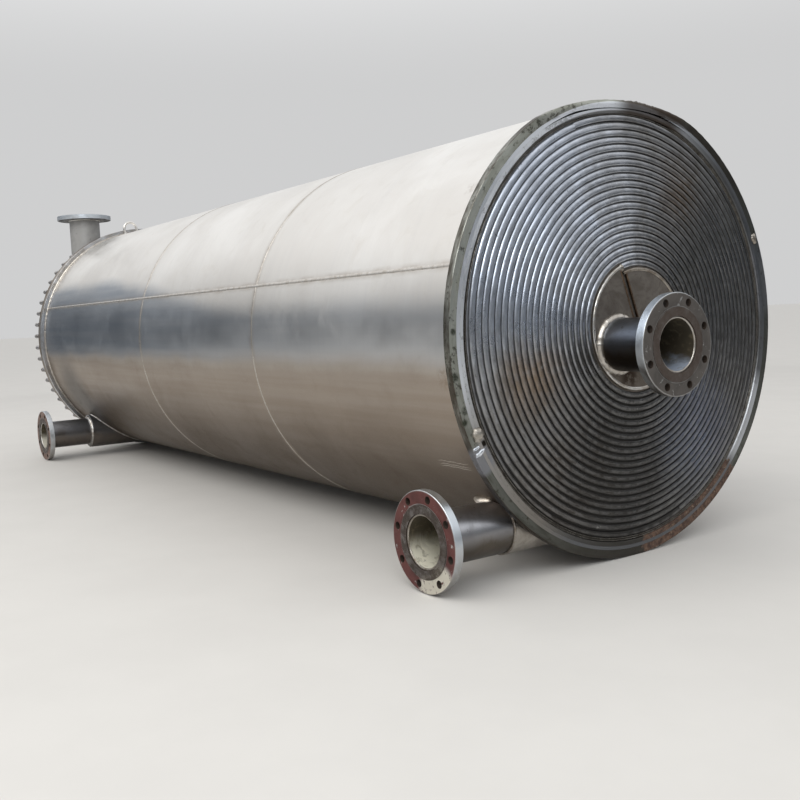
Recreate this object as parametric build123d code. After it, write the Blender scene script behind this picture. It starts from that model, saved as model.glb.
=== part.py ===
from build123d import *
import os
from math import cos, radians, sin, sqrt

# Spiral plate heat exchanger lying on its side, millimetres, +Z up, standing on z = 0.
# It is drawn with its axis along X and the open winding face at x = 0, facing +X. Every piece is
# then moved by one offset, so that the origin is the middle of the footprint, on the ground.

# Fits
SEAT = 0.2  # radial room between a round piece and the round seat that it is welded into
EDGE_BREAK = 1.5  # chamfer on the outer edges of rings, covers and flanges

# Shell
SHELL_OD = 1300
SHELL_WALL = 10
COURSE_LENGTHS = [1176, 1145, 1617]  # near, middle and far plate courses

# Ring at the open face
RIM_WIDTH = 25  # radial
RIM_THICKNESS = 24
FACE_BAND_DEPTH = 16

# Winding: two plates, wound together as half circles about two centres
WINDING_TURNS = 20  # half circles of each plate outside the core
WINDING_PITCH = 20.6  # from a plate to the next one outside it
PLATE_THICKNESS = 3
WINDING_TILT = 20  # degrees from upright of the line on which the two centres lie
WINDING_REAR_GAP = 40  # room between the winding and the far flange
FACE_RISE = 32  # how far the middle of the face stands out in front of its outer turn
BAR_DEPTH = 16
BAR_CLEARANCE = 0.2
PLATE_EDGE_STEP = 6  # how far the plate edges lie behind the crests of the closing bars
FILLER_STEP = 10  # how far the fillers lie behind the rim's face
FILLER_DEPTH = 20

# Core
CORE_RADIUS = 191  # to the middle of the first turn of plate
CORE_WALL = 10
DIVIDER_THICKNESS = 12
DIVIDER_STEP = 5  # how far the divider's edge lies behind the core covers
CORE_COVER_THICKNESS = 20
COVER_GROOVE = 4  # open weld groove between the divider and each core cover

# Nozzles on the core and at the foot: pipe 152 x 6 with slip-on plate flanges
PIPE_OD = 152
PIPE_WALL = 6
FLANGE_OD = 280
FLANGE_THICKNESS = 28
RAISED_FACE_OD = 204
RAISED_FACE_HEIGHT = 2
FLANGE_BOLTS = 8
FLANGE_BOLT_CIRCLE = 240
FLANGE_BOLT_HOLE = 22
PIPE_SETBACK = 6  # from the raised face in to the end of the pipe
ROOT_ROOM = 5  # by how much the root of a pipe is bored wider than the pipe, on the diameter

CORE_MOUTH_STEP = 7  # by how much the hole in the left core cover is smaller than the pipe's bore
CENTRE_NOZZLE_OFFSET = 93.5  # from the core's centre, square to the divider
CENTRE_NOZZLE_DROP = 8  # below the middle of its half of the core
CENTRE_NOZZLE_REACH = 243  # raised face in front of the rim's face
FOOT_CLEARANCE = 2  # under the flanges of the two nozzles near the foot
NEAR_NOZZLE_X = 113  # behind the rim's face
NEAR_NOZZLE_STANDOFF = 52  # raised face beyond the side of the shell
NEAR_FLANGE_TURN = 9.5  # degrees by which its bolt holes are turned from straddling the upright
NEAR_JOINT_OUT = -20  # from where the pipe's top meets the shell out to the joint with the stub
NEAR_STUB_OD = 162
FAR_NOZZLE_FROM_END = 218  # from the front of the far flange
FAR_NOZZLE_STANDOFF = 108
FAR_JOINT_OUT = 36
FAR_STUB_OD = 190

# Upright nozzle: it comes out of the far cover through an elbow
TOP_PIPE_OD = 180
TOP_PIPE_WALL = 6
TOP_FLANGE_OD = 320
TOP_FLANGE_THICKNESS = 28
TOP_RAISED_FACE_OD = 240
TOP_BOLT_CIRCLE = 280
TOP_BOLT_HOLE = 22
TOP_NOZZLE_STUB = 20  # straight part between the cover and the bend
ELBOW_RADIUS = 180  # bend, to the middle of the pipe
ELBOW_HEIGHT = 300  # its lower end above the exchanger's axis
TOP_NOZZLE_Y = -290  # to the side of the exchanger's axis
TOP_NOZZLE_STANDOFF = 122  # raised face above the top of the shell

# Bolted cover at the far end
FAR_FLANGE_WIDTH = 25  # radial
FAR_FLANGE_THICKNESS = 26
GASKET_THICKNESS = 3
GASKET_EDGE = 30  # how far the gasket stays inside the flange's edge
GASKET_WIDTH = 45
COVER_THICKNESS = 30

# Lifting eye
EYE_FROM_END = 148  # from the front of the far flange
EYE_TILT = 12  # degrees from upright, seen along the axis
EYE_WIDTH = 74  # between the centres of its legs
EYE_HEIGHT = 60  # from the shell to the middle of the bow
EYE_ROD = 14

# Worked out
SHELL_R = SHELL_OD / 2
SHELL_LENGTH = sum(COURSE_LENGTHS)
RIM_R = SHELL_R + RIM_WIDTH
FAR_FLANGE_R = SHELL_R + FAR_FLANGE_WIDTH
AXIS_Z = RIM_R
SIDE_NOZZLE_Z = FLANGE_OD / 2 + FOOT_CLEARANCE
NEAR_NOZZLE_REACH = SHELL_R + NEAR_NOZZLE_STANDOFF
FAR_NOZZLE_REACH = SHELL_R + FAR_NOZZLE_STANDOFF
TOP_NOZZLE_REACH = SHELL_R + TOP_NOZZLE_STANDOFF
COVER_BACK = -(SHELL_LENGTH + FAR_FLANGE_THICKNESS + GASKET_THICKNESS + COVER_THICKNESS)
FAR_NOZZLE_X = SHELL_LENGTH - FAR_NOZZLE_FROM_END
TOP_NOZZLE_X = COVER_BACK - TOP_NOZZLE_STUB - ELBOW_RADIUS
EYE_X = SHELL_LENGTH - EYE_FROM_END
BORE_R = PIPE_OD / 2 - PIPE_WALL
ROOT_R = BORE_R + ROOT_ROOM / 2
TOP_BORE_R = TOP_PIPE_OD / 2 - TOP_PIPE_WALL
TOP_ROOT_R = TOP_BORE_R + ROOT_ROOM / 2
TURN_SHIFT = WINDING_PITCH / 2
WINDING_R = CORE_RADIUS + WINDING_TURNS * WINDING_PITCH
BAND_INNER_R = WINDING_R + TURN_SHIFT + PLATE_THICKNESS / 2 + SEAT
WINDING_BACK = -(SHELL_LENGTH - WINDING_REAR_GAP)
CORE_FACE = FACE_RISE
BEYOND = 200  # by how much a cutting solid runs past what it cuts


def disc(radius, x_front, thickness):
    """A round plate square to the axis, whose front is at x_front."""
    place = Location((x_front - thickness, 0, AXIS_Z), (0, 90, 0))
    return place * Cylinder(radius, thickness, align=(Align.CENTER, Align.CENTER, Align.MIN))


def turned(points):
    """A round piece given as (x, radius) points and turned about the exchanger's axis."""
    section = Plane.XZ * make_face(Polyline(*points, close=True))
    return Location((0, 0, AXIS_Z)) * revolve(section, axis=Axis.X)


def ring(outer_r, inner_r, x_front, thickness, edge=0.0):
    """A turned ring, with both outer edges broken where an edge is given."""
    x_back = x_front - thickness
    points = [(x_back, inner_r), (x_back, outer_r - edge)]
    if edge > 0:
        points += [(x_back + edge, outer_r), (x_front - edge, outer_r)]
    points += [(x_front, outer_r - edge), (x_front, inner_r)]
    return turned(points)


def on_face(shape):
    """Stands a drawing made with its up axis along the divider on the exchanger's own face."""
    return Location((0, 0, AXIS_Z), (WINDING_TILT, 0, 0)) * shape


def turn_centre(side):
    """Turns on the left half (side 1) are struck from above the middle, the others from below."""
    return side * TURN_SHIFT


def face_point(radius, side, end):
    """End of a half turn: end 1 is the upper one, end -1 the lower one."""
    return Vector(0, 0, turn_centre(side) + end * radius)


def face_crown(radius, side):
    """Middle of a half turn, on the left or the right of the divider."""
    return Vector(0, -side * radius, turn_centre(side))


def strip(first_turn, last_turn, inner_shift, outer_shift, start_side):
    """Outline of a wound strip. Each next half turn is one pitch larger, on the other side."""
    rims = []
    for shift in (inner_shift, outer_shift):
        arcs = []
        side = start_side
        for turn in range(first_turn, last_turn + 1):
            radius = CORE_RADIUS + turn * WINDING_PITCH + shift
            start = face_point(radius, side, -side)
            crown = face_crown(radius, side)
            finish = face_point(radius, side, side)
            arcs.append(ThreePointArc(start, crown, finish))
            side = -side
        rims.append(arcs)
    inner, outer = rims
    closing = [Line(inner[0] @ 0, outer[0] @ 0), Line(inner[-1] @ 1, outer[-1] @ 1)]
    return Face(Wire(inner + outer + closing))


def wound(first_turn, last_turn, inner_shift, outer_shift, start_side, back, front):
    outline = strip(first_turn, last_turn, inner_shift, outer_shift, start_side)
    solid = extrude(outline, amount=front - back, dir=(1, 0, 0))
    return on_face(Location((back, 0, 0)) * solid)


def face_cone(step, base_x):
    """The space behind the winding's slightly coned face, set back by a step."""
    slope = FACE_RISE / (WINDING_R - CORE_RADIUS)
    wide = SHELL_R - SHELL_WALL
    profile = Polyline(
        (base_x, 0),
        (FACE_RISE - step, 0),
        (FACE_RISE - step, CORE_RADIUS),
        (FACE_RISE - step - slope * (wide - CORE_RADIUS), wide),
        (base_x, wide),
        close=True,
    )
    return Location((0, 0, AXIS_Z)) * revolve(make_face(profile), axis=Axis.X)


def divider_block(front, back):
    span = 2 * (CORE_RADIUS + TURN_SHIFT + PLATE_THICKNESS / 2)
    block = Box(front - back, DIVIDER_THICKNESS, span, align=(Align.MIN, Align.CENTER, Align.CENTER))
    return on_face(Location((back, 0, 0)) * block)


def make_winding():
    """Two plates, and the bars that close the two channels between them at the open face."""
    half = PLATE_THICKNESS / 2
    room = half + BAR_CLEARANCE
    front = FACE_RISE
    bar_back = -BAR_DEPTH - FACE_RISE
    plate_space = face_cone(PLATE_EDGE_STEP, WINDING_BACK - BEYOND)
    bar_space = face_cone(0, bar_back)
    bar_behind = face_cone(BAR_DEPTH, bar_back)
    divider = divider_block(front, WINDING_BACK)
    pieces = {}
    for letter, side in (("a", 1), ("b", -1)):
        plate = wound(1, WINDING_TURNS, -half, half, side, WINDING_BACK, front)
        pieces["spiral_plate_" + letter] = (plate - divider) & plate_space
        bar = wound(0, WINDING_TURNS - 1, room, WINDING_PITCH - room, side, bar_back, front)
        pieces["closing_bar_" + letter] = (bar & bar_space) - bar_behind - divider
    return pieces


def half_plane(side, inset, back, front):
    """Everything on one side of the upright middle plane, from inset outwards."""
    block = Box(front - back, 2 * RIM_R, 2 * RIM_R, align=(Align.MIN, Align.MIN, Align.CENTER))
    if side > 0:
        block = mirror(block, about=Plane.XZ)
    return Location((back, -side * inset, 0)) * block


def core_cylinder(radius, side, back, front):
    body = Cylinder(radius, front - back, align=(Align.CENTER, Align.CENTER, Align.MIN))
    return Location((back, 0, turn_centre(side)), (0, 90, 0)) * body


def make_core():
    """Two half tubes on a divider, each closed by a cover. The left cover carries a nozzle."""
    outer = CORE_RADIUS + PLATE_THICKNESS / 2
    inner = outer - CORE_WALL
    half_divider = DIVIDER_THICKNESS / 2
    cover_back = CORE_FACE - CORE_COVER_THICKNESS
    pieces = {}
    for name, side in (("left", 1), ("right", -1)):
        tube = core_cylinder(outer, side, WINDING_BACK, CORE_FACE - DIVIDER_STEP)
        tube -= core_cylinder(inner, side, WINDING_BACK, CORE_FACE)
        half = tube & half_plane(side, half_divider, WINDING_BACK, CORE_FACE)
        pieces["core_half_" + name] = on_face(half)
        cover = core_cylinder(inner - SEAT, side, cover_back, CORE_FACE)
        cover &= half_plane(side, half_divider + COVER_GROOVE, cover_back, CORE_FACE)
        if side > 0:
            cover = on_face(cover) - tube_along((1, 0, 0), centre_nozzle_point(),
                                                BORE_R - CORE_MOUTH_STEP / 2, 0, -BEYOND, BEYOND)
            pieces["core_cover_left"] = cover
        else:
            pieces["core_cover_right"] = on_face(cover)
    pieces["core_divider"] = divider_block(CORE_FACE - DIVIDER_STEP, WINDING_BACK)
    return pieces


def make_winding_filler():
    """The two crescents between the last turns and the face band."""
    front = -FILLER_STEP
    back = front - FILLER_DEPTH
    space = Cylinder(BAND_INNER_R - SEAT, FILLER_DEPTH, align=(Align.CENTER, Align.CENTER, Align.MIN))
    space = Location((back, 0, 0), (0, 90, 0)) * space
    last = WINDING_R + PLATE_THICKNESS / 2 + SEAT
    for side in (1, -1):
        taken = core_cylinder(last, side, back, front)
        space -= taken & half_plane(side, 0, back, front)
    return on_face(space)


def tube_along(direction, point, outer_r, inner_r, start, finish):
    """A tube whose axis passes point and runs along direction, from start to finish."""
    plane = Plane(origin=point, z_dir=direction)
    body = Cylinder(outer_r, finish - start, align=(Align.CENTER, Align.CENTER, Align.MIN))
    if inner_r > 0:
        body -= Cylinder(inner_r, finish - start, align=(Align.CENTER, Align.CENTER, Align.MIN))
    return plane * (Location((0, 0, start)) * body)


def flange_at(direction, point, reach, turn=0.0):
    """Slip-on plate flange with a raised face. Its bolt holes straddle the upright, plus a turn."""
    return slip_on_flange(direction, point, reach, turn, PIPE_OD, FLANGE_OD, FLANGE_THICKNESS,
                          RAISED_FACE_OD, FLANGE_BOLT_CIRCLE, FLANGE_BOLT_HOLE)


def slip_on_flange(direction, point, reach, turn, pipe_od, outer_d, thickness, face_d, circle, hole_d):
    back = reach - thickness
    face = reach - RAISED_FACE_HEIGHT
    seat_r = pipe_od / 2 + SEAT
    flange_r = outer_d / 2
    profile = Polyline(
        (seat_r, back),
        (flange_r - EDGE_BREAK, back),
        (flange_r, back + EDGE_BREAK),
        (flange_r, face - EDGE_BREAK),
        (flange_r - EDGE_BREAK, face),
        (face_d / 2, face),
        (face_d / 2, reach),
        (seat_r, reach),
        close=True,
    )
    body = revolve(Plane.XZ * make_face(profile), axis=Axis.Z)
    first = 180 / FLANGE_BOLTS + turn
    for place in PolarLocations(circle / 2, FLANGE_BOLTS, start_angle=first):
        body -= Location((0, 0, reach)) * place * Cylinder(hole_d / 2, 3 * thickness)
    return Plane(origin=point, z_dir=direction) * body


def centre_nozzle_point():
    """Where the axis of the nozzle on the left half of the core crosses x = 0."""
    tilt = radians(WINDING_TILT)
    height = AXIS_Z - CENTRE_NOZZLE_OFFSET * sin(tilt) - CENTRE_NOZZLE_DROP
    return (0, -CENTRE_NOZZLE_OFFSET * cos(tilt), height)


def make_nozzles():
    """The nozzle on the core, and two near the foot whose pipes run in square to the shell."""
    pieces = {}
    centre = centre_nozzle_point()
    pieces["centre_nozzle_pipe"] = tube_along((1, 0, 0), centre, PIPE_OD / 2, BORE_R,
                                              CORE_FACE, CENTRE_NOZZLE_REACH - PIPE_SETBACK)
    pieces["centre_nozzle_flange"] = flange_at((1, 0, 0), centre, CENTRE_NOZZLE_REACH)

    outside = disc(SHELL_R + SEAT, BEYOND, SHELL_LENGTH + 2 * BEYOND)
    top_meets_shell = sqrt(SHELL_R**2 - (AXIS_Z - SIDE_NOZZLE_Z - PIPE_OD / 2) ** 2)
    for name, x, reach, joint_out, stub_od, turn in (
        ("near", NEAR_NOZZLE_X, NEAR_NOZZLE_REACH, NEAR_JOINT_OUT, NEAR_STUB_OD, NEAR_FLANGE_TURN),
        ("far", FAR_NOZZLE_X, FAR_NOZZLE_REACH, FAR_JOINT_OUT, FAR_STUB_OD, 0),
    ):
        point = (-x, 0, SIDE_NOZZLE_Z)
        joint = top_meets_shell + joint_out
        pipe = tube_along((0, -1, 0), point, PIPE_OD / 2, BORE_R, joint, reach - PIPE_SETBACK)
        stub = tube_along((0, -1, 0), point, stub_od / 2, ROOT_R, 0, joint)
        pieces[name + "_nozzle_pipe"] = pipe - outside
        pieces[name + "_nozzle_stub"] = stub - outside
        pieces[name + "_nozzle_flange"] = flange_at((0, -1, 0), point, reach, turn)
        print("bore of the", name, "nozzle's pipe:", reach - PIPE_SETBACK - joint)
    return pieces


def make_top_nozzle():
    """A quarter bend on the far cover and an upright pipe with a flange, one bolt hole on the axis."""
    outer_r = TOP_PIPE_OD / 2
    bend_top = ELBOW_HEIGHT + ELBOW_RADIUS
    inlet = (0, TOP_NOZZLE_Y, AXIS_Z + ELBOW_HEIGHT)
    path_start = (COVER_BACK, TOP_NOZZLE_Y, AXIS_Z + ELBOW_HEIGHT)
    bend_start = (COVER_BACK - TOP_NOZZLE_STUB, TOP_NOZZLE_Y, AXIS_Z + ELBOW_HEIGHT)
    bend_end = (TOP_NOZZLE_X, TOP_NOZZLE_Y, AXIS_Z + bend_top)
    lead = Line(path_start, bend_start)
    path = Wire([lead, TangentArc(bend_start, bend_end, tangent=lead % 1)])
    plane = Plane(origin=path_start, z_dir=(-1, 0, 0))
    elbow = sweep(plane * Circle(outer_r), path=path) - sweep(plane * Circle(TOP_ROOT_R), path=path)
    point = (TOP_NOZZLE_X, TOP_NOZZLE_Y, AXIS_Z)
    pipe = tube_along((0, 0, 1), point, outer_r, TOP_BORE_R, bend_top, TOP_NOZZLE_REACH - PIPE_SETBACK)
    flange = slip_on_flange((0, 0, 1), point, TOP_NOZZLE_REACH, 180 / FLANGE_BOLTS, TOP_PIPE_OD,
                            TOP_FLANGE_OD, TOP_FLANGE_THICKNESS, TOP_RAISED_FACE_OD,
                            TOP_BOLT_CIRCLE, TOP_BOLT_HOLE)
    mouth = tube_along((1, 0, 0), inlet, TOP_ROOT_R, 0, COVER_BACK - BEYOND, 0)
    print("bore of the top nozzle's pipe:", TOP_NOZZLE_REACH - PIPE_SETBACK - bend_top)
    pieces = {"top_nozzle_elbow": elbow, "top_nozzle_pipe": pipe, "top_nozzle_flange": flange}
    return pieces, mouth


def make_shell():
    """Three courses, with the nozzle mouths cut through the wall."""
    mouths = {
        "near": [((0, -1, 0), (-NEAR_NOZZLE_X, 0, SIDE_NOZZLE_Z))],
        "middle": [],
        "far": [((0, -1, 0), (-FAR_NOZZLE_X, 0, SIDE_NOZZLE_Z))],
    }
    pieces = {}
    front = 0
    for name, length in zip(("near", "middle", "far"), COURSE_LENGTHS):
        grip = FAR_FLANGE_THICKNESS if name == "far" else 0
        course = ring(SHELL_R, SHELL_R - SHELL_WALL, front, length + grip)
        for direction, point in mouths[name]:
            course -= tube_along(direction, point, ROOT_R, 0, 0, SHELL_OD)
        pieces["shell_course_" + name] = course
        front -= length
    return pieces


def make_ends():
    pieces = {}
    pieces["near_rim"] = ring(RIM_R, SHELL_R + SEAT, 0, RIM_THICKNESS, EDGE_BREAK)
    pieces["face_band"] = ring(SHELL_R - SHELL_WALL - SEAT, BAND_INNER_R, 0, FACE_BAND_DEPTH)
    pieces["winding_filler"] = make_winding_filler()

    front = -SHELL_LENGTH
    pieces["far_flange"] = ring(FAR_FLANGE_R, SHELL_R + SEAT, front, FAR_FLANGE_THICKNESS, EDGE_BREAK)
    front -= FAR_FLANGE_THICKNESS
    gasket_r = FAR_FLANGE_R - GASKET_EDGE
    pieces["cover_gasket"] = ring(gasket_r, gasket_r - GASKET_WIDTH, front, GASKET_THICKNESS)
    front -= GASKET_THICKNESS
    pieces["far_cover"] = ring(FAR_FLANGE_R, 0, front, COVER_THICKNESS, EDGE_BREAK)
    return pieces


def make_lifting_eye():
    """A bent rod that stands on the shell near the far end."""
    shell_r = SHELL_R + SEAT
    half = EYE_WIDTH / 2
    foot_z = sqrt(shell_r**2 - (half + EYE_ROD / 2) ** 2) - EYE_ROD / 2
    bow_z = shell_r + EYE_HEIGHT - half
    left = Line((0, -half, foot_z), (0, -half, bow_z))
    bow = ThreePointArc((0, -half, bow_z), (0, 0, bow_z + half), (0, half, bow_z))
    right = Line((0, half, bow_z), (0, half, foot_z))
    path = Wire([left, bow, right])
    section = Plane(origin=path @ 0, z_dir=path % 0) * Circle(EYE_ROD / 2)
    rod = sweep(section, path=path) - Location((0, 0, 0), (0, 90, 0)) * Cylinder(shell_r, BEYOND)
    return {"lifting_eye": Location((-EYE_X, 0, AXIS_Z), (EYE_TILT, 0, 0)) * rod}


def main():
    pieces = {}
    top_nozzle, cover_mouth = make_top_nozzle()
    for group in (make_shell(), make_ends(), make_winding(), make_core(), make_nozzles(),
                  top_nozzle, make_lifting_eye()):
        pieces.update(group)
    pieces["far_cover"] -= cover_mouth

    rear = TOP_NOZZLE_X - TOP_FLANGE_OD / 2
    middle_x = (CENTRE_NOZZLE_REACH + rear) / 2
    middle_y = (RIM_R - FAR_NOZZLE_REACH) / 2
    to_origin = Location((-middle_x, -middle_y, 0))

    os.makedirs("parts", exist_ok=True)
    for name, shape in pieces.items():
        export_step(to_origin * shape, "parts/" + name + ".step")
    print("origin in the drawing:", middle_x, middle_y)


main()
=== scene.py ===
"""Spiral plate heat exchanger on its side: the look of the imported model, in metres."""
import functools
import math
import random

import bmesh
import bpy
from mathutils import Matrix, Vector


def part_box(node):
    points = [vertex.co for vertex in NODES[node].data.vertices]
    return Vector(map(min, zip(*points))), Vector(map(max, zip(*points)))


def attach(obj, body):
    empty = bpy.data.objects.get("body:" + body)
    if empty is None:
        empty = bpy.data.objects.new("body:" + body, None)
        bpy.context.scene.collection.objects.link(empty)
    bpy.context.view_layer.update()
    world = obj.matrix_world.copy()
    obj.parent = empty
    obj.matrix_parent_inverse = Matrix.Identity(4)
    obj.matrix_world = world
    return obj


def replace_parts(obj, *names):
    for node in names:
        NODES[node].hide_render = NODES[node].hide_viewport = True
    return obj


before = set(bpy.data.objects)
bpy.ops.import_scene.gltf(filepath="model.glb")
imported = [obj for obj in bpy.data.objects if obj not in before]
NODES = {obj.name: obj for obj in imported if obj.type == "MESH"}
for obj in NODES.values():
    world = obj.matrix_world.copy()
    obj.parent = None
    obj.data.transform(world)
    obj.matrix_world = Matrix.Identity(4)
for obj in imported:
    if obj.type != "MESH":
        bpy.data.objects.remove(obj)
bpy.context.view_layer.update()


def half(node, axis):
    """Half a node's width along X, Y or Z (0, 1 or 2)."""
    low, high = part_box(node)
    return (high[axis] - low[axis]) / 2


# Directions and sizes, from the frame
X, Y, Z = Vector((1, 0, 0)), Vector((0, 1, 0)), Vector((0, 0, 1))
rim_low, rim_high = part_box("near_rim")
middle_low, middle_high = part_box("shell_course_middle")
FACE_X = rim_high.x  # front of the rim
RIM_BACK = rim_low.x
BAND_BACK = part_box("face_band")[0].x
RIM_R = half("near_rim", 2)
AXIS_Y = (rim_high.y + rim_low.y) / 2
AXIS_Z = (rim_high.z + rim_low.z) / 2
SHELL_R = half("shell_course_near", 2)
BAND_OUTER_R = half("face_band", 2)
SEAM_XS = (middle_high.x, middle_low.x)  # girth seams
FAR_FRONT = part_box("far_flange")[1].x
COVER_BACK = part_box("far_cover")[0].x
FLANGE_R = half("near_nozzle_flange", 2)
TOP_FLANGE_R = half("top_nozzle_flange", 1)
PIPE_R = half("centre_nozzle_pipe", 2)
TOP_PIPE_R = half("top_nozzle_pipe", 1)
NEAR_STUB_R = half("near_nozzle_stub", 0)
FAR_STUB_R = half("far_nozzle_stub", 0)

# As in the part's source
PIPE_WALL = 0.006
RAISED_FACE_R = 0.102
TOP_RAISED_FACE_R = 0.120
RIM_INNER_R = SHELL_R + 0.0002
WINDING_TURNS = 20
WINDING_PITCH = 0.0206
PLATE = 0.003
CORE_RADIUS = 0.191
CORE_WALL = 0.010
CORE_OUTER_R = CORE_RADIUS + PLATE / 2
DIVIDER = 0.012
COVER_GROOVE = 0.004
WINDING_TILT = math.radians(20)
FACE_RISE = 0.032
WINDING_R = CORE_RADIUS + WINDING_TURNS * WINDING_PITCH
FACE_SLOPE = FACE_RISE / (WINDING_R - CORE_RADIUS)
TURN_SHIFT = WINDING_PITCH / 2
BAND_INNER_R = WINDING_R + TURN_SHIFT + PLATE / 2 + 0.0002
EYE_TILT = math.radians(12)
EYE_HALF_WIDTH = 0.037
EYE_ROD_R = 0.007

# Only drawn here
LONG_SEAM = math.radians(72.5)  # lengthwise seam, from the top towards -Y
DENT_ANGLE = math.radians(2)  # where the top of the rim is beaten flat
DENT_SPREAD = math.radians(29)
DENT_DEPTH = 0.018
BURNT_ANGLE = math.radians(-4)  # where the folded edge is burnt and ragged
HIGHLIGHT_SIDE = math.radians(50)  # the side of the face where the painted highlight lies, painted shade opposite
STUDS = 60
STUD_R = 0.012
STUD_CIRCLE_R = 0.658
STUD_BEYOND = 0.110  # from the back of the cover to the end of a stud
NUT_ACROSS_FLATS = 0.030
NUT_HEIGHT = 0.018
RIM_MID_R = 0.662  # middle of the rim's face
STRIP_MID_R = 0.638  # middle of the bright ground strip
SCRATCHES = 122.6  # degrees from the top, by the rim


def at(x, radius, angle):
    """A point by its x, its distance from the axis and its angle from the top, towards -Y."""
    return Vector((x, AXIS_Y - radius * math.sin(angle), AXIS_Z + radius * math.cos(angle)))


def out_at(angle):
    return Vector((0, -math.sin(angle), math.cos(angle)))


def turns(count, start=0.0):
    """The angles that cut a full turn into count steps."""
    return [start + math.tau * i / count for i in range(count)]


def middle(node):
    low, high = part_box(node)
    return (low + high) / 2


def span(node, axis):
    """Where a node starts and ends along an axis."""
    ends = sorted(corner.dot(axis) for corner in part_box(node))
    return ends[0], ends[1]


def along(centre, axis, place):
    """The point of an axis through centre that lies at that place along it."""
    return centre + axis * (place - centre.dot(axis))


# Meshes
def add_object(name, data):
    obj = bpy.data.objects.new(name, data)
    bpy.context.scene.collection.objects.link(obj)
    return obj


def new_object(name, verts, faces, material, sharp=40):
    """A closed piece that rides on the part. Edges over sharp degrees stay crisp."""
    mesh = bpy.data.meshes.new(name)
    mesh.from_pydata([tuple(v) for v in verts], [], faces)
    mesh.validate()
    mesh.update()
    bm = bmesh.new()
    bm.from_mesh(mesh)
    bmesh.ops.recalc_face_normals(bm, faces=bm.faces)
    bm.to_mesh(mesh)
    bm.free()
    mesh.shade_smooth()
    mesh.set_sharp_from_angle(angle=math.radians(sharp))
    obj = add_object(name, mesh)
    obj.data.materials.append(material)
    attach(obj, "root")
    return obj


def loft(rows, closed_rows, closed_section=True):
    """Vertices and faces of a skin over rows of equally many points."""
    count = len(rows[0])
    verts = [p for row in rows for p in row]
    faces = []
    last_row = len(rows) if closed_rows else len(rows) - 1
    last_point = count if closed_section else count - 1
    for i in range(last_row):
        a, b = i * count, (i + 1) % len(rows) * count
        for j in range(last_point):
            k = (j + 1) % count
            faces.append((a + j, a + k, b + k, b + j))
    if not closed_rows and closed_section:
        faces.append(tuple(range(count)))
        faces.append(tuple((len(rows) - 1) * count + j for j in reversed(range(count))))
    return verts, faces


def joined(parts):
    """Several skins as one, for many like pieces in one object."""
    verts, faces = [], []
    for part_verts, part_faces in parts:
        first = len(verts)
        verts += part_verts
        faces += [tuple(first + k for k in face) for face in part_faces]
    return verts, faces


def prism(centre, axis, profile, count, turn=0.0):
    """A skin round an axis. The profile is (place along the axis, radius) points."""
    u = axis.orthogonal().normalized()
    v = axis.cross(u)
    rows = []
    for place, radius in profile:
        row = []
        for a in turns(count, turn):
            row.append(centre + axis * place + (u * math.cos(a) + v * math.sin(a)) * radius)
        rows.append(row)
    return loft(rows, False)


def wobble(seed, waves):
    """A repeatable wavering over 0 to 1 that meets itself, with about that many waves."""
    r = random.Random(seed)
    fewest, most = max(1, waves // 2), 2 * waves
    parts = [(r.randint(fewest, most), r.uniform(0, math.tau), r.uniform(0.3, 1)) for _ in range(5)]
    total = sum(size for _, _, size in parts)
    return lambda t: sum(size * math.sin(math.tau * n * t + phase) for n, phase, size in parts) / total


def bead(name, stations, width, height, material, closed=True, ripple=0.006, seed=1, coins=0.2):
    """A weld bead. A station is (point, normal, side); ripples run across it like laid coins."""
    sunk, foot, steps = 0.002, 0.45, 6
    travelled = [0.0]
    for before, here in zip(stations, stations[1:]):
        travelled.append(travelled[-1] + (here[0] - before[0]).length)
    total = travelled[-1] + (stations[0][0] - stations[-1][0]).length * closed
    ripples = max(1, round(total / ripple))
    slow = wobble(seed, max(2, round(total / 0.16)))
    quick = wobble(seed + 1, max(4, round(total / 0.035)))
    rows = []
    for (point, normal, side), length in zip(stations, travelled):
        t = length / total
        crest = abs(math.sin(math.pi * ripples * t))
        h = height * (1 - coins + coins * crest + 0.16 * quick(t))
        w = width * (1 - coins / 4 + coins / 4 * crest + 0.10 * slow(t) + 0.06 * quick(t))
        shift = 0.05 * width * slow(t + 0.3)
        row = []
        for k in range(steps + 1):
            phi = math.pi * k / steps
            row.append(point + side * (shift + w / 2 * math.cos(phi)) + normal * (h * math.sin(phi)))
        row.append(point - side * (w * foot) - normal * sunk)
        row.append(point + side * (w * foot) - normal * sunk)
        rows.append(row)
    return new_object(name, *loft(rows, closed), material, 80)


def ring_stations(x, radius, count, lean=0.0):
    """Round the exchanger's axis. lean tips the bead from outwards towards +X."""
    return circle_stations(Vector((x, AXIS_Y, AXIS_Z)), X, radius, count, lean)


def circle_stations(centre, axis, radius, count, lean):
    """Round any axis, leaning from straight outwards (0) to straight along the axis (90 degrees)."""
    u = axis.orthogonal().normalized()
    v = axis.cross(u)
    stations = []
    for a in turns(count):
        out = u * math.cos(a) + v * math.sin(a)
        normal = out * math.cos(lean) + axis * math.sin(lean)
        side = axis * math.cos(lean) - out * math.sin(lean)
        stations.append((centre + out * radius, normal, side))
    return stations


def saddle_stations(node, radius, count):
    """Where a level pipe along Y runs into the shell's -Y side."""
    centre = middle(node)
    stations = []
    for a in turns(count):
        pipe_out = Vector((math.cos(a), 0, math.sin(a)))
        z = centre.z + radius * pipe_out.z
        y = AXIS_Y - math.sqrt(SHELL_R**2 - (z - AXIS_Z) ** 2)
        point = Vector((centre.x + radius * pipe_out.x, y, z))
        shell_out = Vector((0, point.y - AXIS_Y, point.z - AXIS_Z)).normalized()
        normal = (pipe_out + shell_out).normalized()
        side = (shell_out - normal * shell_out.dot(normal)).normalized()
        stations.append((point, normal, side))
    return stations


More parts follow.
